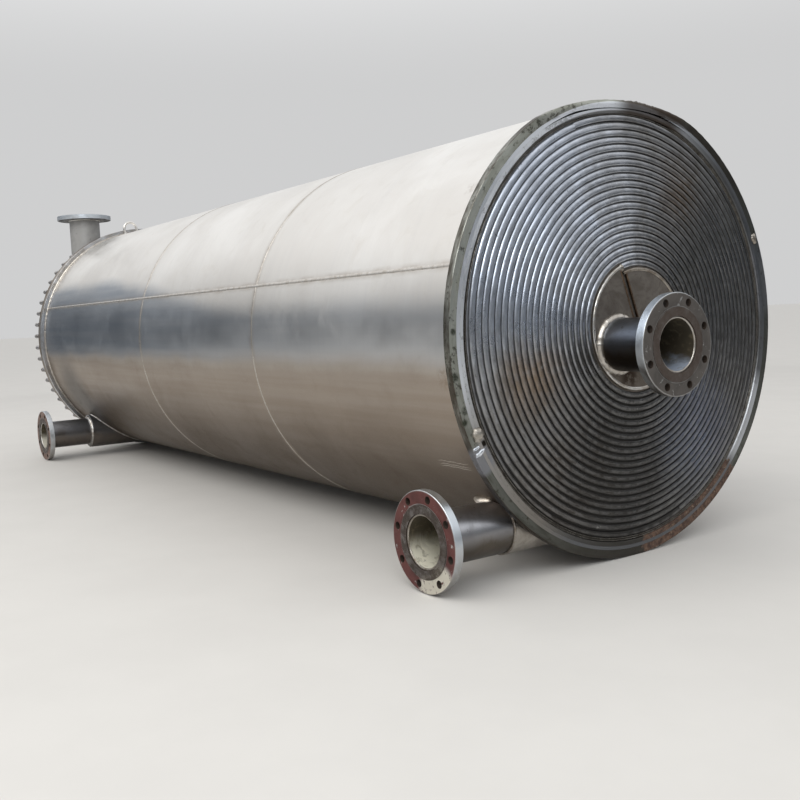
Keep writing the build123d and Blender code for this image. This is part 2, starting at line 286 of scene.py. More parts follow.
def line_stations(start, finish, normal, count):
    step = finish - start
    side = step.cross(normal).normalized()
    return [(start + step * (i / count), normal, side) for i in range(count + 1)]


def blob(name, centre, normal, across, up, tall, material, seed, lumps=0.14):
    """A lumpy drop of weld metal: half sizes across and up, and its height."""
    side = up.cross(normal).normalized()
    up_size, side_size = across
    shape = wobble(seed, 3)
    rings, count, past_widest = 8, 28, 0.56
    rows = []
    for ring in range(1, rings + 1):
        slope = math.pi * past_widest * ring / rings
        row = []
        for i in range(count):
            a = math.tau * i / count
            r = math.sin(slope) * (1 + lumps * shape(i / count))
            lift = tall * (math.cos(slope) + lumps * shape(i / count + 0.37) * ring / rings)
            flat = side * (side_size * r * math.cos(a)) + up * (up_size * r * math.sin(a))
            row.append(centre + flat + normal * lift)
        rows.append(row)
    return new_object(name, *loft(rows, False), material, 80)


# Materials
class Graph:
    """A material's node tree, with short calls for the nodes that the finishes share."""

    def __init__(self, name):
        self.material = bpy.data.materials.new(name)
        self.material.use_nodes = True
        self.tree = self.material.node_tree
        self.here = self.node("TexCoord").outputs["Object"]

    def node(self, kind, inputs=(), **settings):
        """A node with its settings, and what goes into its inputs by their names or numbers."""
        n = self.tree.nodes.new("ShaderNode" + kind)
        for key, value in settings.items():
            setattr(n, key, value)
        for key, source in dict(inputs).items():
            self.link(source, n.inputs[key])
        return n

    def link(self, source, target):
        if isinstance(source, (int, float)):
            target.default_value = source
        elif isinstance(source, tuple):
            target.default_value = source if len(source) == 4 or target.type == "VECTOR" else (*source, 1)
        else:
            self.tree.links.new(source, target)

    def math(self, op, a, b=0.0, clamp=False):
        return self.node("Math", {0: a, 1: b}, operation=op, use_clamp=clamp).outputs[0]

    def vector(self, op, a, b):
        return self.node("VectorMath", {0: a, 1: b}, operation=op).outputs

    def add(self, *terms):
        return functools.reduce(lambda a, b: self.math("ADD", a, b), terms)

    def less(self, a, b, clamp=False):
        return self.math("SUBTRACT", a, b, clamp)

    def split(self, vector):
        return tuple(self.node("SeparateXYZ", {0: vector}).outputs)

    def polar(self):
        """A vector (x, arc length round the shell, distance from the axis), then x, turn and distance."""
        x, y, z = self.split(self.here)
        y, z = self.less(AXIS_Y, y), self.less(z, AXIS_Z)
        r = self.math("SQRT", self.add(self.times(y, y), self.times(z, z)))
        turn = self.math("ARCTAN2", y, z)
        p = self.node("CombineXYZ", {0: x, 1: self.times(turn, SHELL_R), 2: r}).outputs[0]
        return p, x, turn, r

    def about(self, centre, axis):
        """Distance from an axis through centre, and height above centre."""
        away = self.vector("SUBTRACT", self.here, tuple(centre))[0]
        place = self.vector("DOT_PRODUCT", away, tuple(axis))["Value"]
        square = self.vector("DOT_PRODUCT", away, away)["Value"]
        return self.math("SQRT", self.less(square, self.times(place, place))), self.split(away)[2]

    def highlight_side(self, turn):
        """1 on the side of the face with the painted highlight, -1 opposite, in painted shade."""
        return self.math("COSINE", self.less(turn, HIGHLIGHT_SIDE))

    def darken(self, colour, share):
        return self.mix(1.0, colour, share, "MULTIPLY")

    def strip_tone(self, turn):
        """The ground strip round the face: bluish, with a painted highlight on the upper left and a weaker
        one at the lower right, painted shade elsewhere and at the foot, and taupe at the lower left.
        """
        # Painted highlight on the bright side and a weaker one at the lower right, painted shade elsewhere.
        patch = self.spot_at(STRIP_MID_R, -120, 0.22)
        share = self.most(self.ramp(self.highlight_side(turn), -0.1, 0.75, 0.20, 1.05), self.times(patch, 0.7))
        low_left = self.spot_at(STRIP_MID_R, 128, 0.34, 0.6)
        ground = self.darken((0.82, 0.85, 0.90), share)
        return self.mix(self.times(low_left, 0.7), ground, (0.30, 0.27, 0.235))

    def stretched(self, vector, scale):
        return self.node("Mapping", {"Vector": vector, "Scale": scale}).outputs[0]

    def noise(self, scale, detail=4.0, rough=0.55, vector=None, warp=0.0):
        inputs = {"Vector": vector or self.here, "Scale": scale, "Detail": detail, "Roughness": rough,
                  "Distortion": warp}
        return self.node("TexNoise", inputs).outputs["Fac"]

    def ramp(self, value, low, high, start=0.0, end=1.0):
        """start below low, end above high, smooth between."""
        inputs = {"Value": value, "From Min": low, "From Max": high, "To Min": start, "To Max": end}
        return self.node("MapRange", inputs, interpolation_type="SMOOTHSTEP").outputs["Result"]

    def fall(self, value, low, high):
        return self.ramp(value, low, high, 1.0, 0.0)

    def vary(self, noise, start=0.0, end=1.0):
        """From start to end over the span that a noise mostly takes."""
        return self.ramp(noise, 0.3, 0.7, start, end)

    def band(self, value, centre, low, high):
        """1 where a value is within low of a centre, falling to 0 at high."""
        return self.fall(self.math("ABSOLUTE", self.less(value, centre)), low, high)

    def times(self, *factors):
        return functools.reduce(lambda a, b: self.math("MULTIPLY", a, b), factors)

    def most(self, *values):
        return functools.reduce(lambda a, b: self.math("MAXIMUM", a, b), values)

    def mix(self, factor, a, b, blend="MIX"):
        inputs = {"Factor": factor, "A": a, "B": b}
        return self.node("Mix", inputs, data_type="RGBA", blend_type=blend).outputs["Result"]

    def spot(self, centre, radius, soft=0.6):
        """1 at a place on the object, 0 beyond a radius from it."""
        away = self.vector("DISTANCE", self.here, tuple(centre))["Value"]
        return self.fall(away, radius * (1 - soft), radius)

    def spot_at(self, radius, degrees, size, soft=0.6, behind=0.0):
        """A spot by its distance from the axis, its angle from the top and its place behind the rim."""
        return self.spot(at(FACE_X - behind, radius, math.radians(degrees)), size, soft)

    def bumps(self, *layers):
        """Bumps laid over each other, each by its height, distance and strength."""
        normal = None
        for height, distance, strength in layers:
            inputs = {"Height": height, "Distance": distance, "Strength": strength}
            if normal is not None:
                inputs["Normal"] = normal
            normal = self.node("Bump", inputs).outputs["Normal"]
        return normal

    def finish(self, colour, rough, normal=None, metallic=1.0):
        inputs = {"Base Color": colour, "Roughness": rough, "Metallic": metallic, "Normal": normal}
        for key, source in inputs.items():
            if source is not None:
                self.link(source, self.tree.nodes["Principled BSDF"].inputs[key])
        return self.material


def shell_material():
    """Satin rolled stainless plate: mill streaks and clouds, a painted reflection of the horizon as a
    bluish band with a painted reflection of the ground below it, painted shade low down and by the far
    nozzle, and heat tint at the seams.
    """
    g = Graph("shell_plate")
    p, x, turn, r = g.polar()
    clouds = g.noise(2.2, 5, 0.6, p, 0.4)
    blotches = g.noise(9, 4, 0.6, p, 0.8)
    streaks = g.noise(1.0, 3, 0.6, g.stretched(p, (55, 3.0, 1)))
    rolled = g.noise(1.0, 3, 0.55, g.stretched(p, (0.9, 26, 1)))
    grain = g.noise(1.0, 2, 0.5, g.stretched(p, (900, 22, 1)))
    speck = g.noise(260, 2, 0.5)
    colour = g.mix(g.ramp(clouds, 0.35, 0.68), (0.76, 0.735, 0.70), (0.84, 0.825, 0.80))
    colour = g.mix(g.times(g.ramp(blotches, 0.5, 0.8), 0.25), colour, (0.60, 0.565, 0.51))
    colour = g.mix(g.times(g.ramp(streaks, 0.45, 0.7), 0.06), colour, (0.50, 0.50, 0.52))
    angle = g.math("ABSOLUTE", turn)
    level = g.add(angle, g.vary(clouds, -0.02, 0.02))
    # Painted reflection of the horizon: a bluish level band, weaker towards the far end.
    away = g.ramp(x, FACE_X - 2.8, FACE_X - 0.2, 1.0, 0.5)
    climbed = g.add(level, g.ramp(x, FACE_X - 3.2, FACE_X - 1.0, 0.32, 0.0))
    painted_horizon_band = g.times(g.ramp(climbed, 1.34, 1.48), g.fall(level, 1.65, 1.73), g.vary(rolled, 0.78, 0.95), away)
    colour = g.mix(painted_horizon_band, colour, (0.30, 0.335, 0.385))
    # Painted reflection of the ground: taupe just below the band.
    painted_ground_reflection = g.times(g.ramp(level, 1.60, 1.74), g.vary(rolled, 0.88, 0.98))
    colour = g.mix(painted_ground_reflection, colour, (0.33, 0.275, 0.225))
    # Painted shade, darkening towards the bottom of the shell.
    colour = g.mix(g.ramp(level, 1.75, 2.35, 0.0, 0.92), colour, (0.105, 0.078, 0.055))
    tint = g.most(*(g.band(x, seam, 0.006, 0.030) for seam in SEAM_XS))
    tint = g.most(tint, g.band(g.times(turn, SHELL_R), LONG_SEAM * SHELL_R, 0.005, 0.022))
    tint = g.times(tint, g.vary(g.noise(14, 3, 0.6, p), 0.10, 0.45))
    colour = g.mix(tint, colour, (0.40, 0.34, 0.28))
    # The plate's end at the face takes the strip's colour, with its painted highlight and shade.
    end = g.times(g.ramp(x, FACE_X - 0.0008, FACE_X - 0.0004), g.fall(r, SHELL_R + 0.01, SHELL_R + 0.02))
    colour = g.mix(end, colour, g.strip_tone(turn))
    stains = g.noise(60, 3, 0.7)
    marks = g.most(g.spot_at(SHELL_R, 99, 0.040, behind=0.070),
                   g.times(g.spot_at(SHELL_R, 52, 0.030, behind=0.088), 0.8),
                   g.times(g.spot_at(SHELL_R, 118, 0.12, 0.9, behind=0.30), 0.4))
    marks = g.times(marks, g.ramp(stains, 0.35, 0.75))
    colour = g.mix(g.times(marks, 0.45), colour, (0.20, 0.14, 0.09))
    # Painted shadow and reflection of the far nozzle, low down by the far end.
    shadow = g.spot_at(SHELL_R, 118, 0.30, 0.75, behind=3.60)
    colour = g.mix(g.times(shadow, 0.75), colour, (0.10, 0.09, 0.08))
    rough = g.add(g.vary(clouds, 0.31, 0.41), g.ramp(blotches, 0.5, 0.8, 0.0, 0.08),
                  g.ramp(speck, 0.4, 0.7, -0.02, 0.04), g.times(painted_ground_reflection, 0.08))
    dents = g.noise(3.2, 2, 0.4, p)
    arc = g.add(g.times(turn, SHELL_R), g.vary(blotches, -0.004, 0.004))
    lines = g.most(*(g.band(arc, SHELL_R * math.radians(SCRATCHES) + shift, 0.0006, 0.0022)
                     for shift in (-0.011, 0.0, 0.007)))
    scratched = g.times(lines, g.spot_at(SHELL_R, SCRATCHES, 0.080, 0.5, behind=0.16))
    colour = g.mix(g.times(scratched, 0.6), colour, (0.62, 0.58, 0.53))
    normal = g.bumps((dents, 0.010, 0.5), (streaks, 0.0006, 0.15), (grain, 0.00012, 0.6))
    return g.finish(colour, rough, normal)


def bead_material(name, base, dark, bright):
    """A weld bead: mottled with darker soot, and fine bright flecks."""
    g = Graph(name)
    fine = g.noise(420, 3, 0.6)
    patch = g.noise(38, 4, 0.6, warp=0.5)
    colour = g.mix(g.ramp(patch, 0.38, 0.68), base, dark)
    colour = g.mix(g.times(g.ramp(fine, 0.5, 0.75), 0.5), colour, bright)
    return g.finish(colour, g.vary(patch, 0.26, 0.44), g.bumps((fine, 0.0004, 0.5)))


def winding_material():
    """Closing bars: painted highlights at the upper left and along the crests, painted shade in the grooves
    (rougher and less metallic there), low down, at the foot and on one side, a painted bluish reflection at
    the lower right, and brown patches.
    """
    g = Graph("winding_bars")
    p, x, turn, r = g.polar()
    lengthwise = g.noise(1.0, 4, 0.6, g.stretched(p, (60, 26, 90)))
    clouds = g.noise(5.0, 5, 0.62, p, 0.5)
    brushed = g.noise(1.0, 5, 0.7, g.stretched(p, (90, 14, 90)))
    fine = g.noise(330, 3, 0.6)
    grit = g.noise(1.0, 3, 0.7, g.stretched(p, (150, 90, 150)))
    slope = g.times(g.less(r, CORE_RADIUS), FACE_SLOPE)
    depth = g.less(g.less(FACE_X + FACE_RISE, x), slope)
    depth = g.add(depth, g.vary(lengthwise, -0.0007, 0.0007))
    # Painted highlight at the upper left.
    painted_highlight_spot = g.spot_at(0.52, 50, 0.60, 0.95)
    # Painted shade low down.
    low = g.ramp(g.math("ABSOLUTE", turn), 1.35, 2.6)
    bright = g.highlight_side(turn)
    # The grooves' painted shade starts deeper under the painted highlight and sooner low down.
    reach = g.add(g.times(painted_highlight_spot, 0.0014), g.times(low, -0.0009))
    sunk = g.ramp(g.less(depth, reach), 0.0010, 0.0042)
    colour = g.mix(g.ramp(clouds, 0.35, 0.7), (0.36, 0.365, 0.38), (0.22, 0.21, 0.195))
    colour = g.mix(g.times(g.ramp(lengthwise, 0.45, 0.72), 0.55), colour, (0.56, 0.58, 0.62))
    colour = g.mix(g.times(painted_highlight_spot, g.vary(clouds, 0.90, 0.55)), colour, (0.64, 0.71, 0.83))
    brown = g.most(g.spot_at(0.46, -30, 0.15, 0.9), g.spot_at(0.42, 106, 0.17, 0.9),
                   g.times(g.spot_at(0.50, 150, 0.28, 0.95), 0.8))
    brown = g.times(brown, g.ramp(clouds, 0.32, 0.62, 0.30, 0.85))
    colour = g.mix(brown, colour, (0.29, 0.205, 0.135))
    # Painted shade low down.
    colour = g.mix(g.times(low, 0.35), colour, (0.19, 0.17, 0.145))
    # Painted highlight on the bright side, painted shade on the other.
    colour = g.darken(colour, g.ramp(bright, -0.15, 0.85, 0.27, 1.05))
    # Painted shade on the side just past the top, with a sharp edge at the top.
    colour = g.darken(colour, g.most(g.ramp(turn, 0.0, 0.05, 0.78, 1.0), g.fall(turn, -1.2, -0.3)))
    # Painted bluish reflection at the lower right.
    painted_blue_reflection = g.spot_at(0.42, -140, 0.26, 0.9)
    colour = g.mix(g.times(painted_blue_reflection, g.vary(clouds, 0.95, 0.6)), colour, (0.135, 0.165, 0.24))
    # Painted highlight along the crests on the shaded side.
    crest = g.times(g.fall(depth, 0.0004, 0.0016), g.fall(bright, 0.0, 0.7),
                    g.ramp(lengthwise, 0.35, 0.6, 0.3, 1.0))
    colour = g.mix(g.times(crest, 0.55), colour, (0.30, 0.30, 0.30))
    colour = g.darken(colour, g.ramp(brushed, 0.32, 0.66, 0.78, 1.14))
    # Painted shade at the foot of the face.
    foot = g.spot_at(0.42, 170, 0.36, 0.8)
    colour = g.darken(colour, g.ramp(foot, 0.0, 1.0, 1.0, 0.55))
    flecks = g.most(g.spot_at(0.382, 103, 0.007, behind=-0.014),
                    g.times(g.ramp(g.noise(24, 3, 0.6), 0.66, 0.74), g.ramp(grit, 0.52, 0.62), 0.35))
    colour = g.mix(flecks, colour, (0.80, 0.80, 0.79))
    pits = g.times(g.ramp(grit, 0.64, 0.70), g.ramp(clouds, 0.40, 0.55))
    colour = g.mix(g.times(pits, 0.8), colour, (0.05, 0.04, 0.035))
    # Painted shade in the grooves, a little lighter on the bright side.
    colour = g.mix(g.times(sunk, g.ramp(bright, 0.3, 0.9, 0.95, 0.80)), colour, (0.028, 0.026, 0.024))
    rough = g.add(g.vary(clouds, 0.26, 0.38), g.times(sunk, 0.30))
    normal = g.bumps((lengthwise, 0.0010, 0.35), (brushed, 0.0006, 0.35), (fine, 0.00035, 0.4))
    return g.finish(colour, rough, normal, g.ramp(sunk, 0.0, 1.0, 1.0, 0.55))


def core_material():
    """Dull core plates with mottled stains, and a dark brown patch under the nozzle."""
    g = Graph("core_plate")
    mottled = g.noise(22, 5, 0.65, warp=0.7)
    spots = g.noise(75, 3, 0.6)
    fine = g.noise(400, 3, 0.6)
    colour = g.mix(g.ramp(mottled, 0.35, 0.68), (0.20, 0.18, 0.16), (0.125, 0.11, 0.095))
    colour = g.mix(g.times(g.ramp(spots, 0.60, 0.72), 0.6), colour, (0.10, 0.075, 0.055))
    low = g.ramp(g.split(g.here)[2], AXIS_Z - 0.17, AXIS_Z + 0.05, 0.65, 0.0)
    colour = g.mix(low, colour, (0.17, 0.145, 0.12))
    # A dark brown patch under the nozzle.
    dark_under_nozzle = g.spot((FACE_X + FACE_RISE, AXIS_Y - 0.045, AXIS_Z - 0.135), 0.055, 0.8)
    dark_under_nozzle = g.times(dark_under_nozzle, g.ramp(g.noise(48, 4, 0.7), 0.34, 0.52))
    colour = g.mix(dark_under_nozzle, colour, (0.045, 0.028, 0.018))
    normal = g.bumps((mottled, 0.0010, 0.3), (fine, 0.0003, 0.4))
    return g.finish(colour, g.vary(mottled, 0.46, 0.62), normal, 0.80)


def rim_material():
    """Rim and face band: ground stainless, stained grey-green, burnt at the top and rusted low down, with a
    painted highlight on one side, painted shade on the other, in the groove, under the folded top edge and
    at the foot, and a painted dark hole.
    """
    g = Graph("rim_ring")
    p, x, turn, r = g.polar()
    arc = g.noise(1.0, 4, 0.62, g.stretched(p, (30, 9, 40)))
    clouds = g.noise(7, 4, 0.6, p, 0.5)
    pits = g.noise(1.0, 4, 0.72, g.stretched(p, (60, 46, 60)))
    fine = g.noise(380, 3, 0.6)
    bright = g.highlight_side(turn)
    colour = g.mix(g.ramp(arc, 0.35, 0.7), (0.33, 0.34, 0.31), (0.20, 0.205, 0.175))
    # Painted highlight on the bright side, painted shade on the other.
    colour = g.darken(colour, g.ramp(bright, 0.1, 0.98, 0.38, 1.75))
    dull = g.times(g.spot_at(RIM_MID_R, 24, 0.24, 0.7), 0.55)
    colour = g.mix(dull, colour, (0.20, 0.20, 0.175))
    # The ground strip, with its painted highlight and shade.
    strip = g.times(g.fall(r, SHELL_R - 0.0015, SHELL_R + 0.0005), g.ramp(clouds, 0.25, 0.6, 1.0, 0.85))
    colour = g.mix(strip, colour, g.strip_tone(turn))
    # Painted shade in the groove between the band and the winding.
    groove = g.times(g.fall(r, BAND_OUTER_R - 0.016, BAND_OUTER_R - 0.011), 0.85)
    colour = g.mix(groove, colour, (0.085, 0.080, 0.072))
    edge = g.times(g.ramp(r, RIM_R - 0.0030, RIM_R - 0.0012), g.ramp(arc, 0.3, 0.6, 0.5, 0.9))
    colour = g.mix(edge, colour, (0.050, 0.038, 0.028))
    bare = g.times(g.spot_at(RIM_MID_R, 118.7, 0.052, 0.4), 0.85)
    bare = g.most(bare, g.times(g.spot_at(RIM_MID_R, -78, 0.15, 0.5), 0.5))
    colour = g.mix(bare, colour, (0.27, 0.275, 0.30))
    # Painted shade under the folded edge at the top.
    dark_top = g.times(g.spot_at(0.665, -28, 0.42, 0.55), g.ramp(clouds, 0.3, 0.6, 0.95, 0.7))
    dark_top = g.times(dark_top, g.ramp(r, SHELL_R - 0.006, SHELL_R + 0.004, 0.35, 1.0))
    colour = g.mix(dark_top, colour, (0.034, 0.026, 0.019))
    burnt = g.times(g.spot_at(0.652, -10, 0.17, 0.45), g.ramp(clouds, 0.3, 0.6, 1.0, 0.8))
    colour = g.mix(burnt, colour, (0.050, 0.035, 0.025))
    mottled = g.times(g.spot_at(RIM_MID_R, 28, 0.15, 0.7), 0.10)
    smears = g.times(g.spot_at(0.664, 100, 0.20, 0.8), 0.06)
    pitted = g.ramp(g.add(pits, g.add(mottled, smears)), 0.56, 0.68)
    pitted = g.times(pitted, g.ramp(r, SHELL_R - 0.001, SHELL_R + 0.001, 0.35, 0.75))
    colour = g.mix(pitted, colour, (0.040, 0.036, 0.026))
    green_spots = ((0.656, 106, 0.016), (0.668, 108.5, 0.013), (0.663, 98, 0.016), (0.660, 88, 0.012))
    green = g.most(*(g.spot_at(radius, angle, size, 0.7) for radius, angle, size in green_spots))
    colour = g.mix(g.times(green, g.ramp(pits, 0.35, 0.5, 0.4, 0.9)), colour, (0.045, 0.052, 0.036))
    # Painted shade at the foot.
    low = g.ramp(g.math("ABSOLUTE", turn), 2.3, 3.0, 0.0, 0.85)
    colour = g.mix(low, colour, (0.060, 0.055, 0.048))
    rust = g.most(g.spot_at(RIM_MID_R, -149, 0.19, 0.3), g.spot_at(0.664, -168, 0.14, 0.6))
    rust = g.ramp(g.add(rust, g.vary(g.noise(26, 6, 0.75), -0.45, 0.25)), 0.22, 0.40)
    brown = g.mix(g.ramp(g.noise(80, 5, 0.7), 0.38, 0.62), (0.045, 0.023, 0.016), (0.125, 0.072, 0.047))
    brown = g.mix(g.times(g.ramp(g.noise(70, 6, 0.85), 0.55, 0.66), 0.75), brown, (0.36, 0.28, 0.20))
    colour = g.mix(rust, colour, brown)
    # A painted dark hole: the shade of a hole that is not modelled.
    hole_shade = g.spot_at(0.633, 115.4, 0.013, 0.6)
    colour = g.mix(hole_shade, colour, (0.020, 0.017, 0.014))
    rough = g.add(g.vary(arc, 0.30, 0.46), g.times(rust, 0.35))
    metal = g.less(1.0, g.times(rust, 0.9), clamp=True)
    crust = g.times(rust, g.noise(160, 3, 0.7))
    normal = g.bumps((g.noise(4.0, 3, 0.5, p), 0.006, 0.5), (pits, 0.0012, 0.3), (crust, 0.0020, 0.8),
                     (fine, 0.0004, 0.45))
    return g.finish(colour, rough, normal, metal)


def pipe_material(name, centre, axis, pipe_r, colours, metallic=1.0, lit_bore=(-0.050, 0.015)):
    """Welded pipe: a painted highlight above and painted shade below, dull bands, and in the bore a painted
    lit bottom under a top in painted shade.
    """
    upper, lower, inside = colours
    g = Graph(name)
    radius, height = g.about(centre, axis)
    clouds = g.noise(11, 5, 0.6, warp=0.6)
    grime = g.noise(46, 4, 0.65, warp=0.4)
    fine = g.noise(300, 3, 0.6)
    height = g.add(height, g.vary(clouds, -0.012, 0.012))
    # Painted highlight on top and painted shade below.
    colour = g.mix(g.ramp(height, -0.030, 0.045), lower, upper)
    colour = g.mix(g.times(g.ramp(clouds, 0.40, 0.68), 0.45), colour, tuple(0.6 * c for c in lower))
    colour = g.mix(g.times(g.ramp(grime, 0.64, 0.74), 0.6), colour, (0.07, 0.052, 0.040))
    # In the bore: a painted lit bottom under a top in painted shade, then grime.
    bore_light_and_grime = g.mix(g.ramp(height, *lit_bore), inside, (0.075, 0.062, 0.042))
    bore_light_and_grime = g.mix(g.times(g.ramp(grime, 0.52, 0.66), 0.5), bore_light_and_grime, (0.20, 0.17, 0.11))
    within = g.fall(radius, pipe_r - PIPE_WALL * 0.7, pipe_r - PIPE_WALL * 0.5)
    colour = g.mix(within, colour, bore_light_and_grime)
    rough = g.add(g.vary(clouds, 0.28, 0.40), g.times(within, 0.22))
    normal = g.bumps((clouds, 0.0015, 0.2), (fine, 0.00025, 0.45))
    return g.finish(colour, rough, normal, g.less(metallic, g.times(within, 0.6), clamp=True))


def flange_material(name, centre, axis, radii, primer, bare, amount, face_amount, patches=()):
    """Flange: primer worn off its edge and round its raised face, on machined steel with its own raised
    face; its rim edge has a painted highlight on top and painted shade below, and its holes painted shade.
    """
    flange_r, face_r = radii
    g = Graph(name)
    radius, height = g.about(centre, axis)
    cuts = g.math("SINE", g.times(radius, math.tau / 0.0016))
    fine = g.noise(320, 3, 0.6)
    patch = g.noise(17, 5, 0.65, warp=0.5)
    rubs = g.noise(55, 4, 0.65, warp=0.5)
    raised = g.fall(radius, face_r - 0.0006, face_r + 0.0004)
    worn = g.most(g.times(g.band(radius, flange_r, 0.0008, 0.0040), 0.7),
                  g.times(g.band(radius, face_r, 0.0006, 0.0024), 0.75),
                  g.ramp(rubs, 0.62, 0.71))
    side = g.fall(g.math("ABSOLUTE", g.less(radius, flange_r)), 0.0004, 0.0012)
    steel = g.mix(g.ramp(patch, 0.35, 0.7), bare, tuple(0.66 * c for c in bare))
    paint = g.mix(g.ramp(patch, 0.35, 0.7), primer, tuple(0.62 * c for c in primer))
    for place, size in patches:
        mask = g.times(g.spot(centre + place, size, 0.4), g.ramp(rubs, 0.32, 0.42))
        worn = g.most(worn, mask)
        steel = g.mix(mask, steel, (0.74, 0.71, 0.62))
    # The rim edge: a painted bluish highlight on top, painted shade below.
    side_highlight_and_shade = g.mix(g.ramp(g.add(height, g.vary(patch, -0.03, 0.03)), -flange_r, flange_r * 0.3),
                        (0.33, 0.31, 0.29), (0.68, 0.73, 0.78))
    steel = g.mix(side, steel, side_highlight_and_shade)
    # Painted shade on the walls of the holes.
    facing = g.vector("DOT_PRODUCT", g.node("NewGeometry").outputs["True Normal"], tuple(axis))["Value"]
    hole_shade = g.fall(g.math("ABSOLUTE", facing), 0.4, 0.6)
    hole_shade = g.times(hole_shade, g.fall(radius, flange_r - 0.006, flange_r - 0.004))
    worn = g.most(worn, side)
    held = g.mix(raised, (amount,) * 3, (face_amount,) * 3)
    painted = g.math("MULTIPLY", g.less(1.0, worn), held, clamp=True)
    colour = g.mix(painted, steel, paint)
    colour = g.mix(g.times(raised, g.ramp(rubs, 0.30, 0.60, 0.60, 0.92)), colour, (0.048, 0.031, 0.022))
    colour = g.mix(hole_shade, colour, (0.045, 0.032, 0.024))
    rough = g.add(g.vary(patch, 0.30, 0.44), g.times(g.most(painted, hole_shade), 0.24))
    metal = g.less(1.0, g.times(g.most(painted, hole_shade), 0.85))
    normal = g.bumps((g.times(cuts, raised), 0.00018, 0.5), (g.times(painted, rubs), 0.0006, 0.4),
                     (fine, 0.0003, 0.4))
    return g.finish(colour, rough, normal, metal)


def plain_steel(name, base, other, rough_low, rough_high, scale=30, metallic=0.95, thread=0.0):
    """Mottled metal. thread is the pitch of a screw thread along X, drawn as a bump."""
    g = Graph(name)
    patch = g.noise(scale, 5, 0.65, warp=0.5)
    fine = g.noise(350, 3, 0.6)
    colour = g.mix(g.ramp(patch, 0.38, 0.66), base, other)
    layers = [(patch, 0.0008, 0.25), (fine, 0.0003, 0.4)]
    if thread > 0:
        x = g.split(g.here)[0]
        layers.append((g.math("SINE", g.times(x, math.tau / thread)), 0.0009, 0.9))
    return g.finish(colour, g.vary(patch, rough_low, rough_high), g.bumps(*layers), metallic)


near_face = middle("near_nozzle_flange")
centre_face = middle("centre_nozzle_flange")
far_face = middle("far_nozzle_flange")
top_face = middle("top_nozzle_flange")
BROWN = (0.046, 0.036, 0.029)
BARE = (0.50, 0.50, 0.49)
RED_PRIMER = (0.100, 0.026, 0.022)
RUST_PRIMER = (0.165, 0.095, 0.070)

SHELL = shell_material()
WINDING = winding_material()
CORE = core_material()
RIM = rim_material()
WELD = bead_material("weld_bright", (0.58, 0.57, 0.55), (0.40, 0.36, 0.31), (0.82, 0.83, 0.84))
SEAM_WELD = bead_material("weld_seam", (0.66, 0.63, 0.59), (0.50, 0.46, 0.41), (0.80, 0.78, 0.76))
GIRTH_WELD = bead_material("weld_girth", (0.52, 0.49, 0.45), (0.40, 0.365, 0.32), (0.60, 0.58, 0.55))
LUMP = plain_steel("weld_lump", (0.46, 0.43, 0.385), (0.28, 0.255, 0.22), 0.34, 0.50, 70)
DULL_WELD = bead_material("weld_dull", (0.36, 0.33, 0.29), (0.20, 0.165, 0.13), (0.62, 0.61, 0.60))
GROOVE_WELD = bead_material("weld_groove", (0.15, 0.14, 0.125), (0.07, 0.062, 0.052), (0.34, 0.34, 0.34))
# A pale weld, its colour partly a painted highlight.
FILLET_HIGHLIGHT = plain_steel("fillet_weld_highlight", (0.80, 0.74, 0.66), (0.60, 0.53, 0.45), 0.30, 0.46, 60)
TORN = plain_steel("torn_steel", (0.80, 0.84, 0.90), (0.62, 0.66, 0.72), 0.20, 0.34, 40)
BROWN_WELD = bead_material("weld_brown", (0.20, 0.135, 0.09), (0.09, 0.06, 0.04), (0.42, 0.34, 0.27))
# Each pipe's colours: painted highlight on top, painted shade below, and the painted lit bottom of the
# bore.
CENTRE_PIPE = pipe_material("pipe_centre", centre_face, X, PIPE_R,
                            ((0.22, 0.24, 0.275), (0.050, 0.038, 0.028), (0.42, 0.48, 0.58)),
                            1.0, (-0.066, -0.030))
NEAR_PIPE = pipe_material("pipe_near", near_face, Y, PIPE_R,
                          ((0.58, 0.59, 0.63), (0.125, 0.108, 0.090), (0.82, 0.79, 0.66)))
FAR_PIPE = pipe_material("pipe_far", far_face, Y, PIPE_R,
                         ((0.33, 0.35, 0.39), (0.17, 0.15, 0.135), (0.70, 0.67, 0.58)))
TOP_PIPE = pipe_material("pipe_top", top_face, Z, TOP_PIPE_R,
                         ((0.44, 0.45, 0.46), (0.40, 0.395, 0.385), (0.30, 0.29, 0.28)), 0.35)
STUB = plain_steel("stub_steel", (0.50, 0.465, 0.42), (0.34, 0.31, 0.275), 0.34, 0.48, 12)
FAR_RING = plain_steel("ring_bright", (0.50, 0.51, 0.53), (0.30, 0.28, 0.26), 0.30, 0.46, 9)
COVER = plain_steel("cover_plate", (0.30, 0.265, 0.225), (0.17, 0.135, 0.105), 0.40, 0.60, 11)
BOLT = plain_steel("bolt_steel", (0.36, 0.365, 0.38), (0.22, 0.19, 0.165), 0.30, 0.46, 60, 0.95, 0.0025)
NUT = plain_steel("nut_steel", (0.30, 0.30, 0.31), (0.17, 0.125, 0.095), 0.34, 0.52, 42)
GASKET = plain_steel("gasket_sheet", (0.035, 0.034, 0.033), (0.055, 0.052, 0.048), 0.65, 0.85, 60, 0.0)
SIZES, TOP_SIZES = (FLANGE_R, RAISED_FACE_R), (TOP_FLANGE_R, TOP_RAISED_FACE_R)
